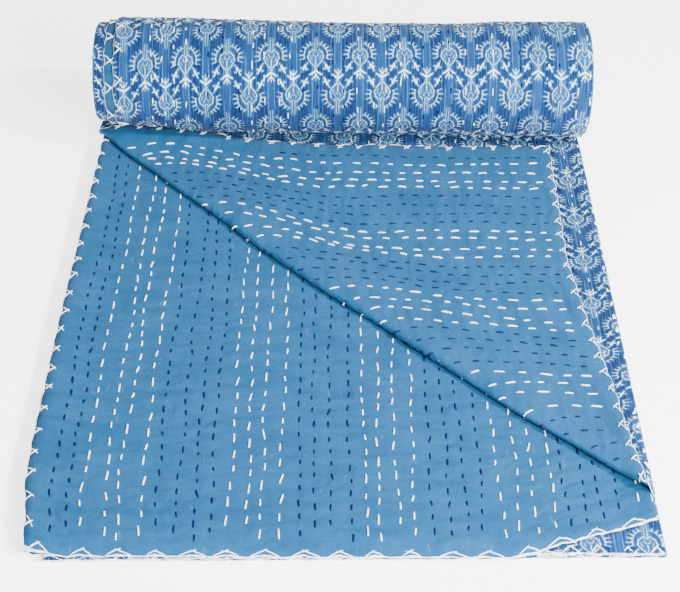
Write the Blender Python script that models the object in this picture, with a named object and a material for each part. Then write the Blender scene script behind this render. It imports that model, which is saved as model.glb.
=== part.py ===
"""A kantha quilt, doubled, folded in four and rolled up from its far end.

The quilt is two thin cotton cloths stitched together in rows, so it is one sheet. It is folded
crosswise in half with its print outside, then back and forth in four panels, which gives eight
layers, and the far half of that long pack is rolled towards the near end. The top layer's near
left corner is turned back along a diagonal and shows the plain side.

In the plan x runs across the pack from its left side, y from its near edge to the roll, and z is
up. On the cloth u runs across from the top layer's left edge and s away from the near edge.
"""

import math

import bmesh
import bpy
from mathutils import Vector

# The cut cloth and how it is folded, in metres
QUILT_WIDTH = 2.286
PANELS = 4
PANEL = QUILT_WIDTH / PANELS
SHEET = 0.0015
PITCH = 0.0020
STACK = (2 * PANELS - 1) * PITCH + SHEET

# The creases at the pack's sides, where four layers turn round each other
CREASE = 1.5 * PITCH + SHEET / 2
CREASE_STEPS = 4
RIGHT = PANEL - CREASE
LEFT = CREASE
TURN_LENGTH = math.pi * PITCH

# The pack is fuller beside its creases: at (metres from a side), share of its flat height
SIDE_HEIGHT = (
    (0.0, 1.30),
    (0.014, 1.14),
    (0.040, 1.0),
)

# The two lowest layers end short of the left side
SEVENTH_INSET = 0.017
EIGHTH_INSET = 0.027

# The roll
ROLL_RADIUS = 0.079
ROLL_Y = 0.662
ROLL_TURN = 0.020
ROLL_SKEW = 0.0074
ROLL_STEPS = 20
ROLL_TURNS = 2.7
ROLL_SIDE = 0.001
ROLL_ROUND = 0.006
NIP = 0.018
NIP_TURN = math.tau - math.asin(NIP / (ROLL_RADIUS - ROLL_TURN))
OVERLAP = 0.008
GROOVE = 0.0025
FLAT_UNDER = math.radians(14)
RISE_UNDER = math.radians(40)

# The corner that is turned back
FOLD_REACH = 0.636
FOLD_RADIUS = 0.0028
FOLD_ARC = math.pi * FOLD_RADIUS
FOLD_STEPS = 4
FOLD_SETTLE = 0.05
FOLD_BOW = 0.014
FOLD_BOW_WIDTH = 0.12

# The stitch rows, which draw the cloth down and leave it puffed up between them
ROW_PITCH = 0.01555
FIRST_ROW = 0.0235
ROWS = 36
PUFF = 0.0007
PUFF_FADE = 0.012

# The pack's height along it: at (metres from the near edge), share of its flat height
LONG_HEIGHT = (
    (0.0, 0.97),
    (0.12, 1.04),
    (0.34, 0.98),
    (0.50, 1.03),
    (0.66, 1.0),
)

# Where the roll presses on the pack
PRESS_LENGTH = 0.03
PRESS_LIFT = 0.0004
PRESS_KEEP = 0.95

# How far each sheet's near edge lies back: at (panels across), set back by (metres)
UPPER_EDGE = (
    (0.0, 0.097),
    (1.0, FOLD_REACH - PANEL),
    (2.0, 0.024),
    (3.0, 0.007),
    (4.0, 0.003),
)
LOWER_EDGE = (
    (0.0, 0.0),
    (0.76, 0.0),
    (1.0, 0.037),
    (1.3, 0.028),
    (2.0, 0.006),
    (3.0, 0.012),
    (4.0, 0.0),
)
EDGE_BLEND = 0.30

# The roll's uneven girth: at (share of the width), radius added (metres)
ROLL_GIRTH = (
    (0.0, 0.0),
    (0.15, 0.0),
    (0.3, -0.001),
    (0.5, -0.0035),
    (0.74, -0.003),
    (0.82, 0.001),
    (0.95, 0.002),
    (1.0, 0.002),
)

# The roll's ends: at (metres from the left side), radius taken off (metres)
ROLL_ENDS = (
    (-ROLL_SIDE, 2 * PITCH + 0.002),
    (0.003, 2 * PITCH),
    (SEVENTH_INSET - 0.001, 2 * PITCH),
    (SEVENTH_INSET - 0.0005, PITCH),
    (EIGHTH_INSET - 0.001, PITCH),
    (EIGHTH_INSET - 0.0005, 0.0),
    (PANEL - ROLL_ROUND, 0.0),
    (PANEL - 0.001, 0.001),
    (PANEL + ROLL_SIDE, 0.003),
)


def along(table, at):
    """The value of a short table of pairs at a place, straight between its rows."""
    for (a, low), (b, high) in zip(table, table[1:]):
        if at <= b:
            share = max(0.0, min(1.0, (at - a) / (b - a)))
            return low + (high - low) * share
    return table[-1][1]


def ease(share):
    """0 to 1 in a smooth S."""
    share = max(0.0, min(1.0, share))
    return share * share * (3 - 2 * share)


def row_lines():
    """The places across the cloth of the stitch rows and of the puffs between them."""
    first = FIRST_ROW - ROW_PITCH / 2
    return [first + i * ROW_PITCH / 2 for i in range(2 * ROWS + 1)]


def puff(u):
    """How far the cloth stands up at a place across it."""
    return PUFF * math.sin(math.pi * (u - FIRST_ROW) / ROW_PITCH) ** 2


def roll_axis(x):
    """How far from the near edge the roll's middle lies."""
    return ROLL_Y - ROLL_SKEW * (x / PANEL - 0.5)


def sheet_length(short):
    """The length across one folded sheet whose last panel ends short of the left side."""
    return across(PANELS - 1, short)


def middle(u):
    """x, z and the upward side's normal of the doubled cloth's middle, at u across it."""
    starts = (0.0, RIGHT, LEFT, RIGHT)
    runs = (RIGHT, RIGHT - LEFT, RIGHT - LEFT, RIGHT)
    for panel, (start, run) in enumerate(zip(starts, runs)):
        way = 1 if panel % 2 == 0 else -1
        z = STACK - SHEET / 2 - PITCH / 2 - 2 * PITCH * panel
        if u <= run or panel == PANELS - 1:
            return start + way * u, z, 0.0, way
        u -= run
        if u < TURN_LENGTH:
            turn = u / PITCH
            x = start + way * (run + PITCH * math.sin(turn))
            return x, z - PITCH * (1 - math.cos(turn)), math.sin(turn), way * math.cos(turn)
        u -= TURN_LENGTH


def across(panel, x):
    """The u of a place across the pack, on one of the four panels."""
    passed = panel * TURN_LENGTH + (panel - 1) * (RIGHT - LEFT) + RIGHT if panel else 0.0
    if panel == 0:
        return x
    return passed + (RIGHT - x if panel % 2 else x - LEFT)


def crease_lines():
    """The places across the cloth where it starts, bends and ends each crease."""
    lines = []
    for panel in range(1, PANELS):
        end = across(panel, RIGHT if panel % 2 else LEFT)
        lines += [end - TURN_LENGTH * i / CREASE_STEPS for i in range(CREASE_STEPS + 1)]
    return lines


def side_lines():
    """The places across the cloth, near the pack's sides, where its height changes."""
    lines = []
    for panel in range(PANELS):
        for reach, _ in SIDE_HEIGHT[1:]:
            lines += [across(panel, reach), across(panel, PANEL - reach)]
    return lines


def height_share(x, y):
    """The pack's height at a place, as a share of its flat height."""
    side = along(SIDE_HEIGHT, min(x, PANEL - x))
    return 1 + (side - 1) * (1 - press(x, y)) + along(LONG_HEIGHT, y) - 1


def press(x, y):
    """How far a place is under the roll's weight, from 0 to 1."""
    return max(0.0, min(1.0, (y - roll_axis(x) + NIP + PRESS_LENGTH) / PRESS_LENGTH))


def pressed(x, y, z):
    """The height of a point, which the roll presses down where the pack goes under it."""
    share = press(x, y)
    return z * height_share(x, y) * (1 + share * (PRESS_KEEP - 1)) + share * PRESS_LIFT


def turned_back(x, y, off):
    """Where a point of the top layer lies, off its middle, once its corner is turned back."""
    top = STACK - SHEET / 2
    past = past_fold(x, y)
    if past <= 0:
        place, z, side, up = -past, top, 0.0, 1.0
    elif past < FOLD_ARC:
        turn = past / FOLD_RADIUS
        place, z = -FOLD_RADIUS * math.sin(turn), top + FOLD_RADIUS * (1 - math.cos(turn))
        side, up = math.sin(turn), math.cos(turn)
    else:
        place = past - FOLD_ARC
        spare = (2 * FOLD_RADIUS - PITCH) * (1 - ease(place / FOLD_SETTLE))
        z, side, up = top + PITCH + spare, 0.0, -1.0
    reach = (past + place + off * side) / math.sqrt(2)
    foot = max(0.0, min(1.0, (x + past / math.sqrt(2)) / PANEL))
    bow = FOLD_BOW * math.sin(math.pi * foot) * math.exp(-((place / FOLD_BOW_WIDTH) ** 2))
    reach -= bow / math.sqrt(2)
    return x + reach, y + reach, z + off * up


def cut(bm, faces, at, square_to):
    """Cuts faces along a straight line through a place, square to a direction."""
    geom = set(faces)
    for face in faces:
        geom.update(face.verts)
        geom.update(face.edges)
    bmesh.ops.bisect_plane(
        bm,
        geom=list(geom),
        dist=1e-6,
        plane_co=Vector((at[0], at[1], 0)),
        plane_no=Vector((square_to[0], square_to[1], 0)),
    )


def past_fold(x, y):
    """How far a place on the top panel lies past the diagonal, towards the near left corner."""
    return (FOLD_REACH - x - y) / math.sqrt(2)


def top_panel(bm, past=-PANEL):
    """The faces of the top panel that lie at least so far past the diagonal."""
    faces = []
    for face in bm.faces:
        place = face.calc_center_median()
        if place.x < RIGHT and past_fold(place.x, place.y) > past:
            faces.append(face)
    return faces


def cut_rows(bm, past):
    """Cuts the top panel, past a line, along its stitch rows and the puffs between them."""
    for u in row_lines():
        if 0 < u < RIGHT:
            cut(bm, top_panel(bm, past), (u, 0), (1, 0))


def cut_diagonals(bm, offsets):
    """Cuts the top panel along lines beside the diagonal, at distances past it."""
    for past in offsets:
        reach = FOLD_REACH - past * math.sqrt(2)
        cut(bm, top_panel(bm), (0, reach), (1, 1))


def flat_cloth(width, edge):
    """A flat sheet from its near edge to the roll, cut where it will bend."""
    bm = bmesh.new()
    far = ROLL_Y - NIP + OVERLAP
    corners = [bm.verts.new(p) for p in ((0, 0, 0), (width, 0, 0), (width, far, 0), (0, far, 0))]
    bm.faces.new(corners)
    for u in crease_lines() + side_lines() + [PANEL * at for at, _ in edge[1:-1]]:
        if 0 < u < width:
            cut(bm, bm.faces[:], (u, 0), (1, 0))
    entry = ROLL_Y - NIP - PRESS_LENGTH
    for s in [at for at, _ in LONG_HEIGHT[1:-1]] + [EDGE_BLEND, entry]:
        cut(bm, bm.faces[:], (0, s), (0, 1))
    for vert in bm.verts:
        back = along(edge, vert.co.x / PANEL)
        vert.co.y += back * max(0.0, 1 - vert.co.y / EDGE_BLEND)
    return bm


def fold_cloth(bm, name, place):
    """Gives a flat sheet its second face, folds both into place and makes the object."""
    made = bmesh.ops.extrude_face_region(bm, geom=bm.faces[:], use_keep_orig=True)
    upper = {vert for vert in made["geom"] if isinstance(vert, bmesh.types.BMVert)}
    for vert in bm.verts:
        x, y, z = place(vert.co.x, vert.co.y, vert in upper)
        vert.co = Vector((x, y, pressed(x, y, z)))
    bmesh.ops.recalc_face_normals(bm, faces=bm.faces[:])
    return new_object(bm, name)


def new_object(bm, name):
    """A named object with a mesh's faces."""
    mesh = bpy.data.meshes.new(name)
    bm.to_mesh(mesh)
    bm.free()
    obj = bpy.data.objects.new(name, mesh)
    bpy.context.scene.collection.objects.link(obj)
    return obj


def folded(u, lift):
    """x and z of a point of the folded cloth, lifted off the doubled cloth's middle."""
    x, z, side, up = middle(u)
    return x + side * lift, z + up * lift


def place_upper(u, s, upper):
    """Where a point of the upper sheet lies: layers one, four, five and eight."""
    off = SHEET / 2 if upper else -SHEET / 2
    if u >= RIGHT:
        x, z = folded(u, PITCH / 2 + off)
        return x, s, z
    if not upper:
        off -= puff(u) * ease((past_fold(u, s) - FOLD_ARC) / PUFF_FADE)
    return turned_back(u, s, off)


def place_lower(u, s, upper):
    """Where a point of the lower sheet lies: layers two, three, six and seven."""
    off = SHEET / 2 if upper else -SHEET / 2
    if u < RIGHT and upper:
        off += puff(u) * ease(past_fold(u, s) / PUFF_FADE)
    x, z = folded(u, off - PITCH / 2)
    return x, s, z


def upper_sheet():
    """The half of the quilt that lies on the other one, with its corner turned back."""
    bm = flat_cloth(sheet_length(EIGHTH_INSET), UPPER_EDGE)
    bends = [FOLD_ARC * i / FOLD_STEPS for i in range(FOLD_STEPS + 1)]
    cut_diagonals(bm, bends + [FOLD_ARC + PUFF_FADE, FOLD_ARC + FOLD_SETTLE])
    cut_rows(bm, FOLD_ARC)
    return fold_cloth(bm, "upper_sheet", place_upper)


def lower_sheet():
    """The half of the quilt that the upper one covers."""
    bm = flat_cloth(sheet_length(SEVENTH_INSET), LOWER_EDGE)
    cut_diagonals(bm, (0.0, PUFF_FADE))
    cut_rows(bm, 0.0)
    return fold_cloth(bm, "lower_sheet", place_lower)


def spiral(turn, x, inward=0.0, puffed=False):
    """A point of the roll, a turn in radians on from its lowest line and so far inside it."""
    taken = along(ROLL_ENDS, x) + inward
    raised = (1 - math.cos(turn)) / 2
    free = ease((turn - FLAT_UNDER) / (RISE_UNDER - FLAT_UNDER))
    girth = along(ROLL_GIRTH, x / PANEL) * raised
    radius = ROLL_RADIUS - ROLL_TURN * turn / math.tau - taken + girth
    if puffed:
        radius += puff(x) * free
    y = roll_axis(x) + radius * math.sin(turn)
    return Vector((x, y, ROLL_RADIUS - radius * math.cos(turn)))


def roll_outline(x):
    """The roll's closed outline at a place across it, from under the nip round to the nip."""
    step = NIP_TURN / ROLL_STEPS
    points = [spiral(step * i, x, puffed=True) for i in range(ROLL_STEPS + 1)]
    points[-1].y = roll_axis(x) - NIP
    points.insert(0, Vector((x, roll_axis(x) - NIP, along(ROLL_ENDS, x))))
    return points


def close_end(bm, ring, x, out):
    """Closes one end of the roll, with a groove that follows its turns inwards."""
    step = NIP_TURN / ROLL_STEPS
    count = round(ROLL_TURNS * ROLL_STEPS)
    lines = ring[1:]
    crests = []
    for i in range(count):
        if i > ROLL_STEPS:
            point = spiral(i * step, x)
            lines.append(bm.verts.new(point - Vector((out * GROOVE, 0, 0))))
        crests.append(bm.verts.new(spiral(i * step, x, ROLL_TURN / 2)))
    for i in range(count - 1):
        inner = i + ROLL_STEPS
        bm.faces.new((lines[i], lines[i + 1], crests[i + 1], crests[i]))
        if inner + 1 < count:
            bm.faces.new((crests[i], crests[i + 1], lines[inner + 1], lines[inner]))
    bm.faces.new((ring[0], lines[0], crests[0], lines[ROLL_STEPS]))
    core = crests[count - 1 - ROLL_STEPS:] + [lines[count - 1]]
    bm.faces.new(core)


def roll():
    """The wound part of the quilt, as one solid with its outer turn's puffs."""
    bm = bmesh.new()
    even = [x for x in row_lines() if EIGHTH_INSET < x < PANEL - ROLL_ROUND]
    stations = [x for x, _ in ROLL_ENDS] + even
    rings = []
    for x in sorted(stations):
        rings.append([bm.verts.new(point) for point in roll_outline(x)])
    for near, far in zip(rings, rings[1:]):
        for i in range(len(near) - 1):
            bm.faces.new((near[i], near[i + 1], far[i + 1], far[i]))
    bm.faces.new([ring[0] for ring in rings] + [ring[-1] for ring in reversed(rings)])
    close_end(bm, rings[0], -ROLL_SIDE, -1)
    close_end(bm, rings[-1], PANEL + ROLL_SIDE, 1)
    bmesh.ops.recalc_face_normals(bm, faces=bm.faces[:])
    return new_object(bm, "quilt")


def cloth_finish():
    """Matt blue cotton."""
    material = bpy.data.materials.new("blue_cotton")
    material.use_nodes = True
    shader = material.node_tree.nodes["Principled BSDF"]
    shader.inputs["Base Color"].default_value = (0.045, 0.165, 0.32, 1)
    shader.inputs["Roughness"].default_value = 0.9
    shader.inputs["Metallic"].default_value = 0.0
    return material


def join(target, cloth):
    """Joins a sheet to the roll that its far end runs into."""
    union = target.modifiers.new(cloth.name, "BOOLEAN")
    union.operation = "UNION"
    union.solver = "EXACT"
    union.object = cloth
    cloth.hide_render = True
    cloth.display_type = "WIRE"


def centre_on_floor(objects):
    """Moves the meshes so that the pack is centred over the origin, with its base at zero."""
    corners = [vert.co for obj in objects for vert in obj.data.vertices]
    low = Vector([min(co[i] for co in corners) for i in range(3)])
    high = Vector([max(co[i] for co in corners) for i in range(3)])
    shift = Vector((-(low.x + high.x) / 2, -(low.y + high.y) / 2, -low.z))
    for obj in objects:
        for vert in obj.data.vertices:
            vert.co += shift


def main():
    for obj in list(bpy.data.objects):
        bpy.data.objects.remove(obj)
    quilt = roll()
    sheets = (upper_sheet(), lower_sheet())
    centre_on_floor((quilt, *sheets))
    for cloth in sheets:
        join(quilt, cloth)
    quilt.data.materials.append(cloth_finish())
    quilt.data.shade_smooth()
    quilt.data.set_sharp_from_angle(angle=math.radians(40))


main()
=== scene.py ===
"""The folded and rolled kantha quilt as it looks: its cloth, its print, its stitches and its edging.

The quilt is one sheet. Its print side faces out where it is folded in half. A place on it is
given by u, across it from the top layer's left edge, and v, from the upper half's near edge round
the crosswise fold in the roll's middle to the lower half's near edge. Everything sewn to it is
made on that flat cloth and then laid with it.
"""

import math

import bmesh
import bpy
import numpy as np
from mathutils import Matrix, Vector


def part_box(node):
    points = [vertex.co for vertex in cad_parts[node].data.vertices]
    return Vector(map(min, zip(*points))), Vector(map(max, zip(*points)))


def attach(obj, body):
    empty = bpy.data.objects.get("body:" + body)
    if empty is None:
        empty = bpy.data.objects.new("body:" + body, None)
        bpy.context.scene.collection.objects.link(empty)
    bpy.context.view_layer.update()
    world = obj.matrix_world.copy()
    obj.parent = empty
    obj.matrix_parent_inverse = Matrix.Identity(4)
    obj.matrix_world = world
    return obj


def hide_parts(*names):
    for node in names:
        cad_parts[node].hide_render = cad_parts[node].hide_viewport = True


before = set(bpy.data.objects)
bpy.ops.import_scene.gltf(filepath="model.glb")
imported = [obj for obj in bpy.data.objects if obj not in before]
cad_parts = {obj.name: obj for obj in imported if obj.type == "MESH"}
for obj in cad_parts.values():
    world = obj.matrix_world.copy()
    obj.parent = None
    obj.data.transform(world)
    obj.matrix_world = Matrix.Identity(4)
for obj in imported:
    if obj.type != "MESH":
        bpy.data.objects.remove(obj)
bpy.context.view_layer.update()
quilt_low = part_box("quilt")[0]

# The cut cloth and how it is folded, in metres
QUILT_WIDTH = 2.286
QUILT_LENGTH = 2.743
PANELS = 4
PANEL = QUILT_WIDTH / PANELS
HALF = QUILT_LENGTH / 2
SHEET = 0.0015
PITCH = 0.0020
STACK = (2 * PANELS - 1) * PITCH + SHEET
CORE_FOLD = math.pi * PITCH / 2
V_END = 2 * HALF + CORE_FOLD

# The creases at the pack's sides
CREASE = 1.5 * PITCH + SHEET / 2
RIGHT = PANEL - CREASE
LEFT = CREASE
TURN_LENGTH = math.pi * PITCH
SIDE_SWELL = 0.30
SIDE_SWELL_WIDTH = 0.020
LOWER_CREASE_OUT = 0.003
SEVENTH_INSET = 0.0145
EIGHTH_INSET = 0.0245
NEAR_THIN = 0.55
NEAR_THIN_LENGTH = 0.022

# The roll
ROLL_RADIUS = 0.079
ROLL_Y = 0.662
ROLL_TURN = 0.020
ROLL_SKEW = 0.0074
ROLL_LOOSE = ROLL_TURN / (2 * PANELS * PITCH)
NIP = 0.018
PRESS_LENGTH = 0.03
TELESCOPE = 0.0025
FLAT_END = 0.640
OUTER_TURN = 0.44
ROLL_DENT = 0.009
ROLL_DENT_FLAT = 0.055
ROLL_DENT_FADE = 0.065
ROLL_DENT_TURN = 5.72
ROLL_DENT_SPAN = 0.42
ROLL_SPREAD = 0.003
ROLL_GIRTH = (
    (0.0, 0.0),
    (0.15, 0.0),
    (0.3, -0.001),
    (0.5, -0.0035),
    (0.74, -0.003),
    (0.82, 0.001),
    (0.95, 0.002),
    (1.0, 0.002),
)

# The corner that is turned back
FOLD_REACH = 0.6375
FOLD_RADIUS_LEFT = 0.0024
FOLD_RADIUS_RIGHT = 0.0030
FOLD_SETTLE = 0.07
FOLD_LIFT_LEFT = 0.0010
FOLD_LIFT_RIGHT = 0.0030
FOLD_LIFT_WIDTH = 0.020
FOLD_BOW = 0.014
FOLD_BOW_WIDTH = 0.12
FOLD_WAVE = 0.0010
FOLD_WAVE_WIDTH = 0.03
FOLD_WAVE_LONG = 17
FOLD_WAVE_SHORT = 41
FLAP_RIPPLE = 0.0016
FLAP_CLIMB = 0.008

# How far the upper half's left edge lies in from the pack's side: at (metres from the near edge), in
UPPER_SIDE = (
    (0.0, 0.016),
    (0.28, 0.015),
    (0.36, 0.007),
    (0.43, -0.003),
    (0.50, -0.009),
    (0.58, -0.008),
    (0.62, -0.002),
    (0.64, 0.0),
)

# How far the lower half's left edge lies in, likewise: it bows out past the creases below
LOWER_SIDE = (
    (0.0, 0.0),
    (0.03, -0.002),
    (0.07, -0.009),
    (0.13, -0.010),
    (0.30, -0.008),
    (0.45, -0.004),
    (0.60, 0.0),
)

# The stitch rows
ROW_PITCH = 0.01555
FIRST_ROW = 0.0235
ROWS = 36
FLAP_ROWS_IN = 0.0156
FLAP_HOOK = 0.012

# How far the rows of the turned-back corner bow to the roll beside its fold: at (across), bow
FLAP_BOW = (
    (0.0, 0.008),
    (0.04, 0.014),
    (0.10, 0.028),
    (0.16, 0.038),
    (0.22, 0.038),
    (0.30, 0.030),
    (0.55, 0.0),
)

# Which thread each stitch row has, from the left: w is white and n is navy
ROW_THREADS = "nnwwwwnnnnwwwwnnnnwwwwnnnnwwwwnnnnww"

# The threads: sides and rings of a bit, radii, usual lengths and gap, and a ply's length in mm
SIDES = 6
BIT_RINGS = 6
WHITE_RADIUS = 0.00088
NAVY_RADIUS = 0.00086
EDGING_RADIUS = 0.00062
WHITE_LENGTH = 0.0132
NAVY_LENGTH = 0.0104
STITCH_GAP = 0.0074
PLY_LENGTH = 2.4

# How long the stitches are on the turned-back corner and on the print side, as shares of the
# usual, and where the rows of the first, of the strip and of the roll end and begin
SIZE_ON_FLAP = 0.96
SIZE_ON_PRINT = 0.7
SHORT_ROW_END = 0.36
STRIP_END = 0.655
ROLL_START = 0.66

# The puffs and ripples of the cloth, and the edging's bites
PUFF = 0.0007
RIPPLE_HIGH = 0.0010
PUFF_FADE = 0.012
SIDE_BITES = 0.0285
UPPER_BITES = 0.026
LOWER_BITES = 0.033
SCALLOP = 0.0016
RIM_BIT = 0.018

# How far each half's near edge lies back: at (panels across), set back by (metres)
UPPER_EDGE = (
    (0.0, 0.098),
    (0.4, 0.101),
    (0.55, 0.092),
    (0.75, 0.076),
    (1.0, FOLD_REACH - PANEL),
    (2.0, 0.020),
    (3.0, 0.004),
    (4.0, -0.003),
)
LOWER_EDGE = (
    (0.0, 0.006),
    (0.03, 0.0),
    (0.06, -0.002),
    (0.76, -0.002),
    (1.0, 0.037),
    (1.06, 0.030),
    (1.2, 0.020),
    (1.4, 0.010),
    (2.0, 0.002),
    (3.0, 0.006),
    (4.0, -0.003),
)

PLAN_TO_FRAME = Vector((-PANEL / 2, quilt_low.y, quilt_low.z))


def table(rows, at):
    """A short table's value at places, straight between its rows."""
    places, values = zip(*rows)
    return np.interp(at, places, values)


def ease(share):
    """0 to 1 in a smooth S."""
    share = np.clip(share, 0, 1)
    return share * share * (3 - 2 * share)


def roll_axis(x):
    """How far from the near edge the roll's middle lies."""
    return ROLL_Y - ROLL_SKEW * (x / PANEL - 0.5)


def across(panel, x):
    """The u of a place across the pack, on one of the four panels."""
    if panel == 0:
        return x
    passed = panel * TURN_LENGTH + (panel - 1) * (RIGHT - LEFT) + RIGHT
    return passed + (RIGHT - x if panel % 2 else x - LEFT)


U_END = across(3, SEVENTH_INSET)


def middle(u):
    """x, z and the upper half's side of the doubled cloth's middle, at u across it."""
    x, z = np.zeros_like(u), np.zeros_like(u)
    side, up = np.zeros_like(u), np.zeros_like(u)
    starts = (0.0, RIGHT, LEFT, RIGHT)
    runs = (RIGHT, RIGHT - LEFT, RIGHT - LEFT, RIGHT)
    passed = 0.0
    for panel, (start, run) in enumerate(zip(starts, runs)):
        way = 1 if panel % 2 == 0 else -1
        height = STACK - SHEET / 2 - PITCH / 2 - 2 * PITCH * panel
        flat = (u >= passed if panel else np.ones_like(u, bool)) & (panel == 3 or u <= passed + run)
        x[flat], z[flat] = start + way * (u[flat] - passed), height
        side[flat], up[flat] = 0, way
        passed += run
        bend = (u > passed) & (u < passed + TURN_LENGTH)
        turn = (u[bend] - passed) / PITCH
        x[bend] = start + way * (run + PITCH * np.sin(turn))
        z[bend] = height - PITCH * (1 - np.cos(turn))
        side[bend], up[bend] = np.sin(turn), way * np.cos(turn)
        passed += TURN_LENGTH
    return x, z, side, up


def past_fold(x, y):
    """How far a place on the top layer lies past the diagonal, towards the near left corner."""
    return (FOLD_REACH - x - y) / math.sqrt(2)


def turn_back(x, y, off):
    """Lays the top layer's points, off its middle, with its corner turned back."""
    top = STACK - SHEET / 2
    past = past_fold(x, y)
    foot = np.clip((x + past / math.sqrt(2)) / PANEL, 0, 1)
    radius = FOLD_RADIUS_LEFT + (FOLD_RADIUS_RIGHT - FOLD_RADIUS_LEFT) * foot
    turn = np.clip(past / radius, 0, math.pi)
    beyond = np.maximum(past - math.pi * radius, 0)
    place = np.where(past <= 0, -past, beyond) - radius * np.sin(turn)
    spare = (2 * radius - PITCH) * (1 - ease(beyond / FOLD_SETTLE))
    high = top + radius * (1 - np.cos(turn))
    z = np.where(beyond > 0, top + PITCH + spare, high)
    z = z + FLAP_RIPPLE * ease(beyond / 0.03) * ripple(x, y)
    lift = FOLD_LIFT_LEFT + (FOLD_LIFT_RIGHT - FOLD_LIFT_LEFT) * foot
    z = z + lift * np.exp(-((place / FOLD_LIFT_WIDTH) ** 2))
    reach = (past + place + off * np.sin(turn)) / math.sqrt(2)
    bow = FOLD_BOW * np.sin(math.pi * foot) * np.exp(-((place / FOLD_BOW_WIDTH) ** 2))
    waves = np.sin(FOLD_WAVE_LONG * foot + 0.8) + 0.6 * np.sin(FOLD_WAVE_SHORT * foot)
    wave = FOLD_WAVE * waves
    bow = bow + wave * np.exp(-((place / FOLD_WAVE_WIDTH) ** 2))
    reach = reach - bow / math.sqrt(2)
    left = 1 - ease((x + reach - 0.08) / 0.10)
    climb = FLAP_CLIMB * left * ease((y + reach - 0.585) / 0.05) * ease(beyond / 0.02)
    return x + reach, y + reach, z + climb + off * np.cos(turn)


def ripple(x, y):
    """Soft ridges on the turned-back corner, from 0 to 1."""
    slow = np.sin(x / 0.031 + 2.2 * np.sin(y / 0.09)) * np.sin(y / 0.052 + 1.3)
    return 0.5 + 0.5 * slow


def height_share(x, y, press):
    """The pack's height at a place, as a share of its flat height."""
    nearest = np.minimum(x, PANEL - x)
    sides = SIDE_SWELL * np.exp(-((nearest / SIDE_SWELL_WIDTH) ** 2))
    wave = 0.035 * np.sin(x / 0.043 + 1.7 * np.sin(y / 0.11)) * np.sin(y / 0.061 + 0.8)
    wave = wave + 0.03 * np.sin(x / 0.12 + 0.6) * np.sin(y / 0.10 + 2.0)
    thin = NEAR_THIN + (1 - NEAR_THIN) * ease((y + 0.004) / NEAR_THIN_LENGTH)
    return (1 + (sides + wave) * (1 - press)) * thin


def puff(u, v, outer, x, y, turn):
    """How far the outer face stands up between the stitch rows, where it shows."""
    upper = v < HALF
    past = past_fold(x, y)
    first = u < RIGHT
    shown = np.where(first & upper & ~outer, ease((past - 0.009) / PUFF_FADE), 0.0)
    shown = np.where(first & ~upper & ~outer, ease(past / PUFF_FADE), shown)
    strip = np.maximum(ease((x - 0.93 * PANEL) / 0.008), ease((y - FOLD_REACH) / 0.004))
    shown = np.where(first & upper & outer, 0.4 * strip, shown)
    last = u > across(3, RIGHT)
    rolled = ease((turn - 0.25) / 0.45) * ease((6.1 - turn) / 0.3)
    shown = np.where(last & upper & outer, rolled, shown)
    rows = np.sin(math.pi * (u - FIRST_ROW) / ROW_PITCH) ** 2
    pull = 0.7 + 0.3 * np.sin(v / 0.0034 + 5 * np.sin(u / 0.013))
    cross = np.sin(v / 0.0031 + 1.6 * np.sin(u / 0.021) + 2.1 * np.sin(v / 0.037))
    cross = cross * np.sin(u / 0.017 + 1.9 * np.sin(v / 0.013)) + 0.6 * np.sin(
        v / 0.0058 + 1.2 * np.sin(u / 0.034)
    )
    return shown * (PUFF * rows * pull + RIPPLE_HIGH * (0.5 + 0.3 * cross))


def scallops(u, v):
    """How far the edges are drawn in by the edging, across and along."""
    def near(edge):
        return np.exp(-np.abs(edge) / 0.006)

    def bites(along, pitch):
        return (0.5 - 0.5 * np.cos(2 * math.pi * along / pitch)) ** 3

    du = SCALLOP * bites(v, SIDE_BITES) * (near(u) - near(u - U_END))
    dv = SCALLOP * (bites(u, UPPER_BITES) * near(v) - bites(u, LOWER_BITES) * near(v - V_END))
    return du, dv


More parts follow.
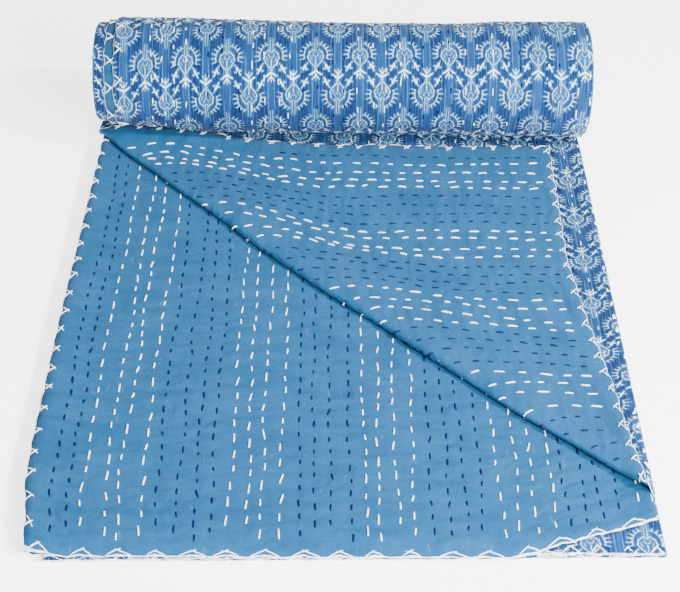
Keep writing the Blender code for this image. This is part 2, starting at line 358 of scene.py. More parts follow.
def lay(u, v, off):
    """Where points of the cloth lie, off its middle towards the print side, in the frame."""
    u, v, off = (np.asarray(a, float) for a in np.broadcast_arrays(u, v, off))
    du, dv = scallops(u, v)
    lower_share = ease((v - HALF) / CORE_FOLD)
    upper_in = (EIGHTH_INSET - SEVENTH_INSET) * ease((u - U_END + 0.15) / 0.15)
    shift = table(UPPER_SIDE, v) * (1 - ease((u - 0.15) / 0.35)) - upper_in
    lower_shift = table(LOWER_SIDE, V_END - v) * (1 - ease(u / 0.2))
    uu = u + du + shift * (1 - lower_share) + lower_shift * lower_share
    half_turn = np.clip((v - HALF) / CORE_FOLD, 0, 1) * math.pi
    s = np.where(v + dv <= HALF, v + dv, V_END - v - dv)
    inside = (v > HALF) & (v < HALF + CORE_FOLD)
    s = np.where(inside, HALF, s)
    back = np.where(
        v < HALF + CORE_FOLD / 2, table(UPPER_EDGE, uu / PANEL), table(LOWER_EDGE, uu / PANEL)
    )
    s = s + back * (1 - s / HALF)
    x, z, side, up = middle(uu)
    y = s
    first = (uu < RIGHT) & (v < HALF)
    plan_turn = np.maximum(y - roll_axis(x), 0)
    spiral_a = ROLL_RADIUS - ROLL_TURN / 2
    spiral_b = ROLL_TURN / math.tau
    root = np.maximum(spiral_a**2 - 2 * spiral_b * plan_turn, 1e-8)
    turn = (spiral_a - np.sqrt(root)) / spiral_b
    thick = np.abs(off) / (SHEET / 2)
    off = off + np.sign(off) * puff(uu, v, off > 0, x, y, turn) * np.clip(thick, 0, 1)
    lift = (PITCH / 2 + off) * np.cos(half_turn)
    y = y + (PITCH / 2 + off) * np.sin(half_turn)
    px, pz = x + side * lift, z + up * lift
    fx, fy, fz = turn_back(uu, s, off)
    px, y, pz = np.where(first, fx, px), np.where(first, fy, y), np.where(first, fz, pz)
    axis = roll_axis(px)
    press = np.clip((y - axis + NIP + PRESS_LENGTH) / PRESS_LENGTH, 0, 1)
    pz = pz * height_share(px, y, press)
    out = LOWER_CREASE_OUT * (1 - pz / STACK) * ease((px - PANEL / 2) / (PANEL / 2))
    px = px + out * (1 - press)
    pz = pz * (1 + (ROLL_LOOSE - 1) * ease((y - axis + NIP) / NIP))
    run = np.maximum(y - axis, 0)
    root = np.maximum(spiral_a**2 - 2 * spiral_b * run, 1e-8)
    turn = (spiral_a - np.sqrt(root)) / spiral_b
    radius = ROLL_RADIUS - spiral_b * turn - pz
    raised = (1 - np.cos(turn)) / 2
    radius = radius * (1 + table(ROLL_GIRTH, px / PANEL) / ROLL_RADIUS * raised)
    dent = ROLL_DENT * (1 - ease((px - ROLL_DENT_FLAT) / ROLL_DENT_FADE))
    dent = dent * np.exp(-(((turn - ROLL_DENT_TURN) / ROLL_DENT_SPAN) ** 2))
    radius = radius - dent
    rolled = run > 0
    ry = axis + radius * np.sin(turn)
    rz = ROLL_RADIUS - radius * np.cos(turn)
    inner = ease((turn - 5.5) / 6)
    spread = ease((px - PANEL + 0.06) / 0.06) - ease((0.06 - px) / 0.06)
    rx = px + TELESCOPE * inner * np.sin(0.9 * turn + 0.6) + ROLL_SPREAD * spread * ease(turn / 0.6)
    px, y, pz = np.where(rolled, rx, px), np.where(rolled, ry, y), np.where(rolled, rz, pz)
    return np.stack([px, y, pz], -1) + np.array(PLAN_TO_FRAME)


def spaced(start, end, step):
    """Places from start to end, about a step apart."""
    count = max(1, round((end - start) / step))
    return [start + (end - start) * i / count for i in range(count + 1)]


def row_places(start, end, parts):
    """Places across the cloth at the stitch rows and at parts of the way between them."""
    step = ROW_PITCH / parts
    first = FIRST_ROW - ROW_PITCH
    places = [first + i * step for i in range(int(PANEL * PANELS / step) + 9)]
    inside = [u for u in places if start + 0.3 * step < u < end - 0.3 * step]
    return [start, *inside, end]


def cloth_blocks():
    """The cloth's stretches across and along it, and how finely each pair is divided."""
    columns = []
    for panel in range(PANELS):
        a = 0.0 if panel == 0 else across(panel, RIGHT if panel % 2 else LEFT)
        b = U_END if panel == 3 else across(panel, LEFT if panel % 2 else RIGHT)
        columns.append(("panel", panel, a, b))
        if panel < 3:
            columns.append(("crease", panel, b, b + TURN_LENGTH))
    flat_end, turn_end = FLAT_END, FLAT_END + OUTER_TURN
    stretches = [
        ("flat", True, 0.0, flat_end),
        ("outer", True, flat_end, turn_end),
        ("inner", True, turn_end, HALF),
        ("core", True, HALF, HALF + CORE_FOLD),
        ("inner", False, HALF + CORE_FOLD, V_END - turn_end),
        ("outer", False, V_END - turn_end, V_END - flat_end),
        ("flat", False, V_END - flat_end, V_END),
    ]
    return columns, stretches


def block_lines(column, stretch):
    """The lines that divide one block of the cloth, across it and along it."""
    kind, panel, a, b = column
    where, upper, start, end = stretch
    fine_flat = where == "flat" and kind == "panel" and panel == 0
    fine_roll = where == "outer" and upper and kind == "panel" and panel == 3
    if kind == "crease":
        us = spaced(a, b, TURN_LENGTH / 6)
    elif fine_flat or fine_roll:
        us = row_places(a, b, 3)
    else:
        us = spaced(a, b, 0.07)
    if where == "core":
        vs = spaced(start, end, CORE_FOLD / 4)
    elif fine_flat:
        vs = spaced(start, end, 0.008)
    elif where == "flat":
        vs = spaced(start, end, 0.03)
    elif fine_roll:
        vs = spaced(start, end, 0.007)
    else:
        vs = spaced(start, end, 0.009)
    return us, vs


def flat_mesh():
    """The flat cloth as points and faces: blocks of squares that share their borders."""
    columns, stretches = cloth_blocks()
    lines = {}
    for i, column in enumerate(columns):
        for j, stretch in enumerate(stretches):
            lines[i, j] = block_lines(column, stretch)
    points, index = [], {}

    def point(u, v):
        key = (round(u, 7), round(v, 7))
        if key not in index:
            index[key] = len(points)
            points.append((u, v))
        return index[key]

    def border(i, j, which, low, high):
        """The neighbour's places strictly inside one stretch of a shared border."""
        other = lines.get((i, j))
        if other is None:
            return []
        return [p for p in other[which] if low + 1e-7 < p < high - 1e-7]

    faces = []
    for (i, j), (us, vs) in lines.items():
        for a, (u0, u1) in enumerate(zip(us, us[1:])):
            for b, (v0, v1) in enumerate(zip(vs, vs[1:])):
                ring = [point(u0, v0)]
                if b == 0:
                    ring += [point(u, v0) for u in border(i, j - 1, 0, u0, u1)]
                ring.append(point(u1, v0))
                if a == len(us) - 2:
                    ring += [point(u1, v) for v in border(i + 1, j, 1, v0, v1)]
                ring.append(point(u1, v1))
                if b == len(vs) - 2:
                    ring += [point(u, v1) for u in reversed(border(i, j + 1, 0, u0, u1))]
                ring.append(point(u0, v1))
                if a == 0:
                    ring += [point(u0, v) for v in reversed(border(i - 1, j, 1, v0, v1))]
                faces.append(ring)
    return points, faces


def cut_diagonals(points, faces):
    """Adds lines beside the diagonal, where the top layer bends round."""
    bm = bmesh.new()
    verts = [bm.verts.new((u, v, 0)) for u, v in points]
    for ring in faces:
        bm.faces.new([verts[i] for i in ring])
    arc = math.pi * (FOLD_RADIUS_LEFT + FOLD_RADIUS_RIGHT) / 2
    for past in [arc * i / 7 for i in range(-1, 9)]:
        near = [
            f
            for f in bm.faces
            if f.calc_center_median().x < RIGHT and abs(past_fold_flat(f) - past) < 0.02
        ]
        geom = set(near)
        for f in near:
            geom.update(f.verts)
            geom.update(f.edges)
        slope, reach = fold_on_cloth(past)
        bmesh.ops.bisect_plane(
            bm, geom=list(geom), dist=1e-4, plane_co=(0, reach, 0), plane_no=(slope, 1, 0)
        )
    bmesh.ops.remove_doubles(bm, verts=bm.verts[:], dist=0.0004)
    bm.verts.index_update()
    cut_points = [(v.co.x, v.co.y) for v in bm.verts]
    cut_faces = [[v.index for v in f.verts] for f in bm.faces]
    bm.free()
    return cut_points, cut_faces


def fold_on_cloth(past):
    """The diagonal on the flat cloth, past it by a distance: its slope and its start."""
    reach = FOLD_REACH - past * math.sqrt(2)
    left = cloth_v(0.0, reach)
    right = cloth_v(RIGHT, reach - RIGHT)
    return (left - right) / RIGHT, left


def cloth_v(u, s):
    """The v on the flat cloth of a place on the top layer."""
    back = float(table(UPPER_EDGE, u / PANEL))
    return (s - back) / (1 - back / HALF)


def past_fold_flat(face):
    """How far a face of the flat cloth lies past the diagonal; far away on the lower half."""
    place = face.calc_center_median()
    if place.y > HALF:
        return 9.0
    back = float(table(UPPER_EDGE, place.x / PANEL))
    return float(past_fold(place.x, place.y + back * (1 - place.y / HALF)))


def new_piece(name, points, faces, uvs, looks, slots=None):
    """A named object from points, faces, a uv for each corner and its finishes."""
    mesh = bpy.data.meshes.new(name)
    mesh.from_pydata([tuple(p) for p in points], [], [list(f) for f in faces])
    layer = mesh.uv_layers.new(name="UVMap")
    layer.data.foreach_set("uv", np.asarray(uvs, np.float32).ravel())
    if slots is not None:
        mesh.polygons.foreach_set("material_index", np.asarray(slots, np.int32))
    for look in looks:
        mesh.materials.append(look)
    mesh.shade_smooth()
    obj = bpy.data.objects.new(name, mesh)
    bpy.context.scene.collection.objects.link(obj)
    return obj


def quilt_cloth(looks):
    """The quilt's two cloths as one thin closed sheet, folded and rolled."""
    points, faces = cut_diagonals(*flat_mesh())
    flat = np.array(points)
    count = len(points)
    print_side = lay(flat[:, 0], flat[:, 1], SHEET / 2)
    plain_side = lay(flat[:, 0], flat[:, 1], -SHEET / 2)
    edges = {}
    for ring in faces:
        for a, b in zip(ring, ring[1:] + ring[:1]):
            if (b, a) in edges:
                del edges[b, a]
            else:
                edges[a, b] = True
    rim = {}
    round_out = 0.0006
    centre = np.array([U_END / 2, V_END / 2])
    for a, _ in edges:
        out = np.sign(flat[a] - centre) * round_out
        on_u = flat[a, 0] < 1e-6 or flat[a, 0] > U_END - 1e-6
        on_v = flat[a, 1] < 1e-6 or flat[a, 1] > V_END - 1e-6
        rim[a] = (flat[a, 0] + out[0] * on_u, flat[a, 1] + out[1] * on_v)
    rim_index = {a: 2 * count + i for i, a in enumerate(rim)}
    rim_flat = np.array(list(rim.values()))
    hem = lay(rim_flat[:, 0], rim_flat[:, 1], 0.0)
    all_points = np.concatenate([print_side, plain_side, hem])
    places = np.concatenate([flat, flat, rim_flat])
    rings = [list(ring) for ring in faces]
    slots = [0] * len(rings)
    for ring in faces:
        rings.append([i + count for i in reversed(ring)])
        slots.append(1)
    for a, b in edges:
        rings.append([b, a, rim_index[a], rim_index[b]])
        rings.append([rim_index[b], rim_index[a], a + count, b + count])
        slots += [0, 1]
    uvs = places[np.concatenate([np.array(r) for r in rings])]
    return new_piece("quilt_cloth", all_points, rings, uvs, looks, slots)


def thread_bit():
    """A bit of thread, modelled once: upright, one unit high, in short rings, its ends drawn in."""
    bpy.ops.mesh.primitive_cylinder_add(vertices=SIDES, radius=1, depth=1)
    bit = bpy.context.object
    bpy.ops.object.mode_set(mode="EDIT")
    bpy.ops.mesh.select_mode(type="EDGE")
    bpy.ops.mesh.select_all(action="DESELECT")
    bpy.ops.object.mode_set(mode="OBJECT")
    for edge in bit.data.edges:
        low, high = (bit.data.vertices[i].co.z for i in edge.vertices)
        edge.select = abs(high - low) > 0.5
    bpy.ops.object.mode_set(mode="EDIT")
    bpy.ops.mesh.subdivide(number_cuts=BIT_RINGS - 2)
    for share, size in ((0.49, 0.66), (0.29, 0.93)):
        bpy.ops.mesh.select_mode(type="VERT")
        bpy.ops.mesh.select_all(action="DESELECT")
        bpy.ops.object.mode_set(mode="OBJECT")
        for vert in bit.data.vertices:
            vert.select = share < abs(vert.co.z) < share + 0.15
        bpy.ops.object.mode_set(mode="EDIT")
        bpy.ops.transform.resize(value=(size, size, 1))
    bpy.ops.object.mode_set(mode="OBJECT")
    places = np.array([vert.co[:] for vert in bit.data.vertices])
    faces = [list(face.vertices) for face in bit.data.polygons]
    bpy.data.objects.remove(bit)
    return places, faces


def threads_on_cloth(name, look, bit, paths):
    """Copies of the bit of thread, each laid along its path: u, v, height, side and radius."""
    places, bit_faces = bit
    share = places[:, 2] + 0.5
    spoke = np.round(np.arctan2(places[:, 1], places[:, 0]) / math.tau * SIDES).astype(int) % SIDES
    laid, faces, uvs = [], [], []
    for number, (u, v, h, sign, r) in enumerate(paths):
        at = np.linspace(0, 1, len(u))
        du, dv = np.gradient(u), np.gradient(v)
        length = np.maximum(np.hypot(du, dv), 1e-9)
        run = np.concatenate([[0], np.cumsum(np.hypot(np.diff(u), np.diff(v)))])
        here = [np.interp(share, at, a) for a in (u, v, h, -dv / length, du / length, run)]
        cu, cv, height, lu, lv, along = here
        side, rise = places[:, 0] * r, places[:, 1] * r
        laid.append((cu + lu * side, cv + lv * side, (height + rise) * sign))
        for face in bit_faces:
            ring = face if sign > 0 else face[::-1]
            faces.append([number * len(places) + i for i in ring])
            seam = {0, SIDES - 1} <= {spoke[i] for i in face} and len(face) == 4
            uvs += [(along[i], SIDES if seam and spoke[i] == 0 else spoke[i]) for i in ring]
    u, v, off = (np.concatenate([p[k] for p in laid]) for k in range(3))
    points = lay(u, v, off)
    points[:, 2] = np.maximum(points[:, 2], quilt_low.z)
    return new_piece(name, points, faces, uvs, [look])


def stitch(u, v, length, slant, sign, radius, sunk):
    """One stitch: a short arch of thread that dips into the cloth at both ends."""
    t = np.linspace(-0.5, 0.5, BIT_RINGS)
    h = SHEET / 2 + radius * 0.35 - sunk * (2 * np.abs(t)) ** 4
    return u + slant * t * length, v + t * length, h, sign, radius


def stitch_runs():
    """The stretches of stitch rows that show: row, place across, start, end, side and size."""
    runs = []
    for row in range(ROWS):
        u = FIRST_ROW + row * ROW_PITCH
        back = float(table(LOWER_EDGE, u / PANEL))
        fold_v = (FOLD_REACH - u - back) / (1 - back / HALF)
        runs.append((row, u, V_END - fold_v - 0.020, V_END - 0.010, -1, 1.0))
        flap_u = u - FLAP_ROWS_IN
        if flap_u > 0.012:
            last = SHORT_ROW_END if row == 1 else flap_end(flap_u) + 0.002
            runs.append((row, flap_u, 0.012, last, -1, SIZE_ON_FLAP))
        start = 0.0 if u > 0.90 * PANEL else cloth_v(u, FOLD_REACH - 0.02)
        start = max(start, cloth_v(u, FOLD_REACH - u))
        runs.append((row, u, start, STRIP_END, 1, SIZE_ON_PRINT))
        if u > EIGHTH_INSET + 0.004:
            end = ROLL_START + OUTER_TURN
            runs.append((row, across(3, u), ROLL_START, end, 1, SIZE_ON_PRINT))
    return runs


def flap_end(u):
    """The v where a row of the turned-back corner reaches its fold."""
    there = u - float(table(FLAP_BOW, u)) + FLAP_HOOK
    return cloth_v(there, FOLD_REACH - there)


def flap_bend(u, v):
    """How far a row on the turned-back corner bows to the roll, and hooks back at its fold."""
    to_fold = max(flap_end(u) - 0.014 - v, 0.0)
    bow = float(table(FLAP_BOW, u)) * (1 - float(ease((to_fold - 0.02) / 0.20)))
    return FLAP_HOOK * math.exp(-to_fold / 0.022) - bow


def running_stitches(kind, name, look, bit, radius):
    """All visible stitches of one thread."""
    rng = np.random.default_rng(7 if kind == "w" else 11)
    made = []
    for row, u, start, end, sign, size in stitch_runs():
        wander = rng.uniform(0, 6.28, 2)
        row_off = rng.normal(0, 0.0013)
        row_turn = rng.normal(0, 0.0035)
        if ROW_THREADS[row] != kind:
            continue
        flap = sign < 0 and start < HALF
        v = start + rng.uniform(0, 0.010)
        while v < end - 0.008:
            usual = WHITE_LENGTH if kind == "w" else NAVY_LENGTH
            length = size * usual * rng.uniform(0.6, 1.25)
            gap = STITCH_GAP * rng.uniform(0.6, 1.5) + (1 - size) * 0.014
            at = v + length / 2
            drift = row_off + row_turn * (at - (start + end) / 2)
            slow = 0.0013 * math.sin(at / 0.045 + wander[0])
            drift += slow + 0.0009 * math.sin(at / 0.017 + wander[1])
            drift += rng.normal(0, 0.0004)
            slant = rng.normal(0, 0.09)
            if flap:
                drift += float(flap_bend(u, at))
                slant += float(flap_bend(u, at + 0.004) - flap_bend(u, at - 0.004)) / 0.008
            if at + length / 2 < end and u + drift > 0.004:
                thick = radius * rng.uniform(0.85, 1.1) * (0.8 if size < 0.9 else 1)
                made.append(stitch(u + drift, at, length, slant, sign, thick, 1.6 * radius))
            v += length + gap
    return threads_on_cloth(name, look, bit, made)


def edge_stroke(along, inward, q0, w0, q1, w1, sign, radius, rise):
    """One straight bit of edging thread, from the rim over a face of the cloth."""
    t = np.linspace(0, 1, BIT_RINGS)
    q, w = q0 + (q1 - q0) * t, w0 + (w1 - w0) * t
    over = ease((w + 0.0008) / 0.0018)
    h = over * (SHEET / 2 + radius * 0.6) + rise * np.sin(math.pi * t)
    line = along[0] + inward * w
    u, v = (q, line) if along[1] else (line, q)
    return u, v, h, sign, radius


def edge_paths(fixed, end, horizontal, inward, pitch, spread, reaches, rim, rng, radius):
    """The edging along one edge: bits of thread on the rim, and crossed strokes at each bite."""
    along, paths = (fixed, horizontal), []
    for level in (-0.0009, 0.0002):
        turn, rise = rng.uniform(0, 6, 2)
        starts = np.arange(-0.0005, end, RIM_BIT)
        for start in starts:
            q = np.linspace(start - 0.0005, min(start + RIM_BIT, end) + 0.0005, BIT_RINGS)
            wave = 0.0003 * np.sin(q / 0.006 + turn) + 0.0002 * np.sin(q / 0.0023)
            line = fixed + inward * (level + wave)
            h = 0.0004 * np.sin(q / 0.005 + rise) - 0.0002
            u, v = (q, line) if horizontal else (line, q)
            paths.append((u, v, h, 1 if level < 0 else -1, rim))
    at = pitch / 2
    while at < end:
        centre = at + rng.uniform(-0.003, 0.003)
        for sign in (1, -1):
            reach = rng.uniform(*reaches)
            wide = spread * rng.uniform(0.75, 1.2)
            lap = rng.uniform(0.0008, 0.0035)
            lean = rng.uniform(-0.0015, 0.0015)
            first = (centre - wide, -0.0006, centre + lap + lean, reach)
            second = (centre + wide, -0.0006, centre - lap + lean, reach * rng.uniform(0.8, 1.0))
            for stroke, rise in ((first, 0.0), (second, radius)):
                paths.append(edge_stroke(along, inward, *stroke, sign, radius, rise))
        at += pitch
    return paths


def edging(look, bit):
    """The white thread that whips all four edges."""
    rng = np.random.default_rng(5)
    usual = (0.0055, 0.0082)
    # each edge: its line, length, if it runs across, way in, bites, spread, reaches, rim's radius
    edges = (
        (0.0, U_END, True, 1, UPPER_BITES, 0.0065, usual, 0.0004),
        (V_END, U_END, True, -1, LOWER_BITES, 0.0115, (0.0038, 0.0062), 0.0006),
        (0.0, V_END, False, 1, SIDE_BITES, 0.0055, usual, 0.0003),
        (U_END, V_END, False, -1, SIDE_BITES, 0.0065, (0.008, 0.012), 0.0002),
    )
    paths = []
    for edge in edges:
        paths += edge_paths(*edge, rng, EDGING_RADIUS)
    return threads_on_cloth("edging_thread", look, bit, paths)


class Finish:
    """A procedural finish: a material and short ways to add nodes to it."""

    def __init__(self, name):
        self.material = bpy.data.materials.new(name)
        self.material.use_nodes = True
        self.tree = self.material.node_tree
        self.shader = self.tree.nodes["Principled BSDF"]

    def node(self, kind, settings=None, **inputs):
        made = self.tree.nodes.new(kind)
        for key, value in (settings or {}).items():
            setattr(made, key, value)
        for key, value in inputs.items():
            self.put(made.inputs[int(key[1:]) if key[1:].isdigit() else key], value)
        return made

    def put(self, socket, value):
        if isinstance(value, bpy.types.NodeSocket):
            self.tree.links.new(value, socket)
        elif value is not None:
            socket.default_value = value

    def math(self, operation, a, b=None, c=None, clamp=False):
        settings = {"operation": operation, "use_clamp": clamp}
        made = self.node("ShaderNodeMath", settings, i0=a, i1=b, i2=c)
        return made.outputs[0]

    def vector(self, operation, a, b=None, scale=None):
        made = self.node("ShaderNodeVectorMath", {"operation": operation}, i0=a, i1=b)
        if scale is not None:
            self.put(made.inputs["Scale"], scale)
        return made.outputs["Value" if operation in ("DOT_PRODUCT", "LENGTH", "DISTANCE") else 0]

    def step(self, value, low, high, to_low=0.0, to_high=1.0):
        made = self.node("ShaderNodeMapRange", {"interpolation_type": "SMOOTHSTEP"})
        for socket, given in enumerate((value, low, high, to_low, to_high)):
            self.put(made.inputs[socket], given)
        return made.outputs[0]

    def mix(self, share, a, b):
        made = self.node("ShaderNodeMix", {"data_type": "RGBA"})
        self.put(made.inputs[0], share)
        self.put(made.inputs[6], a)
        self.put(made.inputs[7], b)
        return made.outputs[2]

    def noise(self, vector, scale, detail=2.0, rough=0.5):
        made = self.node("ShaderNodeTexNoise", Vector=vector, Scale=scale, Detail=detail, Roughness=rough)
        return made.outputs["Fac"]

    def cloth_place(self):
        """The place on the flat cloth in millimetres, as a vector and as u and v."""
        uv = self.node("ShaderNodeUVMap", {"uv_map": "UVMap"}).outputs[0]
        place = self.vector("SCALE", uv, scale=1000.0)
        split = self.node("ShaderNodeSeparateXYZ", i0=place)
        return place, split.outputs[0], split.outputs[1]

    def weave(self, u, v, strength):
        """A plain weave's bump, with threads of its own thickness both ways."""
        thread = 0.85
        warp = self.math("SINE", self.math("MULTIPLY", u, math.tau / thread))
        weft = self.math("SINE", self.math("MULTIPLY", v, math.tau / thread))
        return self.math("MULTIPLY", self.math("MULTIPLY", warp, weft), strength)

    def rows(self, u):
        """How near a place is to a stitch row, from 0 between rows to 1 on one."""
        share = self.math("DIVIDE", self.math("SUBTRACT", u, FIRST_ROW * 1000), ROW_PITCH * 1000)
        distance = self.math("PINGPONG", share, 0.5)
        return self.step(distance, 0.0, 0.16, 1.0, 0.0)


def colour(r, g, b):
    """A colour given as it looks, 0 to 255 a channel, in linear values."""
    def linear(c):
        c /= 255
        return c / 12.92 if c <= 0.04045 else ((c + 0.055) / 1.055) ** 2.4

    return (linear(r), linear(g), linear(b), 1.0)


LIGHT = 3.0


def dyed(r, g, b, strong=1.4):
    """A dyed cotton's own colour, from how it looks in this light."""
    seen = Vector(colour(r, g, b)[:3])
    grey = seen.dot(Vector((0.21, 0.72, 0.07)))
    own = [max(0.004, grey + strong * (c - grey)) * 0.85 / LIGHT for c in seen]
    return (*own, 1.0)


MOTIF_WIDTH = 51.0
MOTIF_HEIGHT = 76.5
SECOND_ROW = 0.53
ASKEW = 0.000115
PRINT_U = 1000 * across(3, 0.1017)
PRINT_V = 1000 * 0.888
PRINT_WHITE = (0.58, 0.89, 1.0, 1.0)

# The stripes' thin light lines: aside from a stripe's middle (mm), half width (mm), strength
LIGHT_LINES = ((3.7, 0.8, 0.8), (8.4, 0.65, 0.5), (11.6, 0.5, 0.3))

# The motif's strokes in millimetres, right half only: from (x, y), to (x, y), half width
STROKES = (
    ((0.0, 19.0), (0.0, 25.6), 0.75),
    ((0.3, 20.2), (3.8, 24.6), 1.0),
    ((0.5, 16.8), (6.8, 20.2), 1.6),
    ((0.0, 3.6), (0.0, 17.0), 0.62),
    ((9.2, 7.4), (11.8, 10.4), 0.5),
    ((11.8, 10.4), (11.2, 14.8), 0.9),
    ((11.8, 10.6), (15.8, 17.2), 1.5),
    ((13.6, 13.4), (17.0, 12.8), 0.9),
    ((9.4, 14.2), (11.2, 14.8), 0.6),
    ((1.5, -5.6), (1.4, -21.0), 0.42),
    ((0.8, 15.4), (1.6, 11.6), 0.4),
    ((1.6, 11.6), (5.8, 7.6), 0.62),
    ((5.8, 7.6), (8.8, 2.8), 0.7),
    ((8.8, 2.8), (7.8, -2.2), 0.75),
    ((7.8, -2.2), (3.6, -6.0), 0.7),
    ((3.6, -6.0), (1.8, -5.0), 0.6),
    ((1.8, -5.0), (0.0, -3.4), 0.5),
    ((0.8, 1.6), (3.2, -0.6), 0.42),
    ((3.2, -0.6), (2.6, -2.6), 0.4),
    ((4.9, 4.4), (6.0, 0.4), 0.4),
)

# The comb ring round each flower: its radius in mm, and the rays of half of it
RING_RADIUS = 13.3
RAYS = 11


def motif_group():
    """A node group: a place from a motif's middle in; out, how far it is from the lines and the ring."""
    group = bpy.data.node_groups.new("ring_flower", "ShaderNodeTree")
    group.interface.new_socket("Place", in_out="INPUT", socket_type="NodeSocketVector")
    group.interface.new_socket("Distance", in_out="OUTPUT", socket_type="NodeSocketFloat")
    group.interface.new_socket("Radius", in_out="OUTPUT", socket_type="NodeSocketFloat")
    g = Finish.__new__(Finish)
    g.tree = group
    inside = group.nodes.new("NodeGroupInput").outputs[0]
    split = g.node("ShaderNodeSeparateXYZ", i0=inside)
    x, y = g.math("ABSOLUTE", split.outputs[0]), split.outputs[1]
    place = g.node("ShaderNodeCombineXYZ", i0=x, i1=y).outputs[0]
    best = None
    for (ax, ay), (bx, by), width in STROKES:
        run = Vector((bx - ax, by - ay, 0))
        from_a = g.vector("SUBTRACT", place, (ax, ay, 0))
        share = g.math("DIVIDE", g.vector("DOT_PRODUCT", from_a, run), run.length_squared, clamp=True)
        foot = g.vector("SCALE", tuple(run), scale=share)
        far = g.vector("LENGTH", g.vector("SUBTRACT", from_a, foot))
        far = g.math("SUBTRACT", far, g.math("MULTIPLY_ADD", share, -0.35 * width, 0.68 * width))
        best = far if best is None else g.math("MINIMUM", best, far)
    radius = g.vector("LENGTH", place)
    angle = g.math("ARCTAN2", x, g.math("MULTIPLY", y, -1.0))
    arc = g.math("ABSOLUTE", g.math("SUBTRACT", radius, RING_RADIUS))
    arc = g.math("SUBTRACT", arc, g.step(angle, 0.5, 1.6, 0.2, 0.38))
    rays = RAYS / math.pi
    turned = g.math("FRACT", g.math("MULTIPLY", angle, rays))
    aside = g.math("ABSOLUTE", g.math("SUBTRACT", turned, 0.5))
    aside = g.math("MULTIPLY", g.math("DIVIDE", aside, rays), radius)
    long = g.step(angle, 0.3, 1.5, 1.5, 2.7)
    along_ray = g.math("ABSOLUTE", g.math("SUBTRACT", radius, g.math("ADD", RING_RADIUS, long)))
    along_ray = g.math("SUBTRACT", along_ray, long)
    narrow = g.step(radius, 13.0, 19.0, 0.5, 0.18)
    ray = g.math("MAXIMUM", g.math("SUBTRACT", aside, narrow), along_ray)
    ray = g.math("MINIMUM", ray, arc)
    free = g.math("MULTIPLY", g.math("GREATER_THAN", angle, 1.86), 50.0)
    low = g.math("MULTIPLY", g.math("LESS_THAN", angle, 0.2), 50.0)
    ray = g.math("ADD", ray, g.math("ADD", free, low))
    best = g.math("MINIMUM", best, ray)
    result = group.nodes.new("NodeGroupOutput")
    g.tree.links.new(best, result.inputs[0])
    g.tree.links.new(radius, result.inputs[1])
    return group


